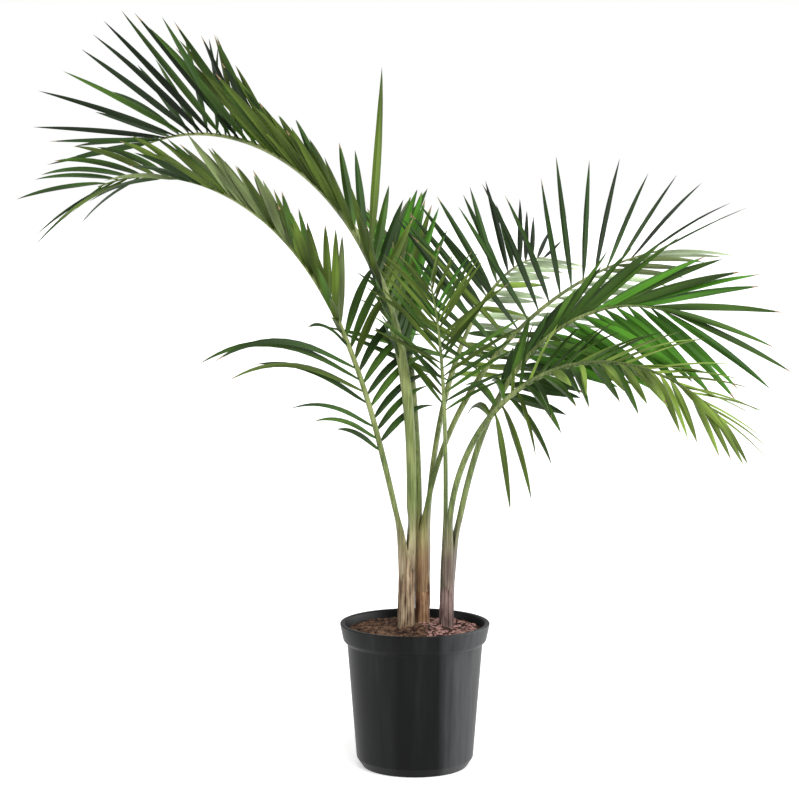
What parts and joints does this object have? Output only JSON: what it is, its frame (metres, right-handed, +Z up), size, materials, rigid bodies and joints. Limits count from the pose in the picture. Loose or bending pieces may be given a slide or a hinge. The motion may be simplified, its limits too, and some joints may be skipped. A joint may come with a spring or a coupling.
{
  "type": "potted majesty palm",
  "caption": "Feather palm in a round black nursery pot, with slim sheathed stems and arching fronds that lean to both sides",
  "frame": {"origin": "centre of the pot's flat underside, on the surface it stands on", "axes": "+Z up along the pot's axis, +X to the right and -Y towards the viewer; the two longest fronds arch over towards -X"},
  "size_m": [1.2809, 0.904, 1.2697],
  "materials": {
    "pot_plastic": "satin",
    "potting_mix": "matte",
    "stem_fibre": "matte",
    "frond_stalk": "satin",
    "frond_leaf": "satin"
  },
  "bodies": {
    "root": {"pot": "pot_plastic", "soil": "potting_mix", "stem_left": "stem_fibre", "stem_middle": "stem_fibre", "stem_right": "stem_fibre", "frond_left_high_stalk": "frond_stalk", "frond_left_high_blade_inner": "frond_leaf", "frond_left_high_blade_outer": "frond_leaf", "frond_left_low_stalk": "frond_stalk", "frond_left_low_blade_inner": "frond_leaf", "frond_left_low_blade_outer": "frond_leaf", "frond_back_stalk": "frond_stalk", "frond_back_blade": "frond_leaf", "frond_back_right_stalk": "frond_stalk", "frond_back_right_blade": "frond_leaf", "frond_right_high_stalk": "frond_stalk", "frond_right_high_blade": "frond_leaf", "frond_right_middle_stalk": "frond_stalk", "frond_right_middle_blade": "frond_leaf", "frond_right_low_stalk": "frond_stalk", "frond_right_low_blade": "frond_leaf", "frond_front_stalk": "frond_stalk", "frond_front_blade": "frond_leaf"}
  },
  "joints": []
}
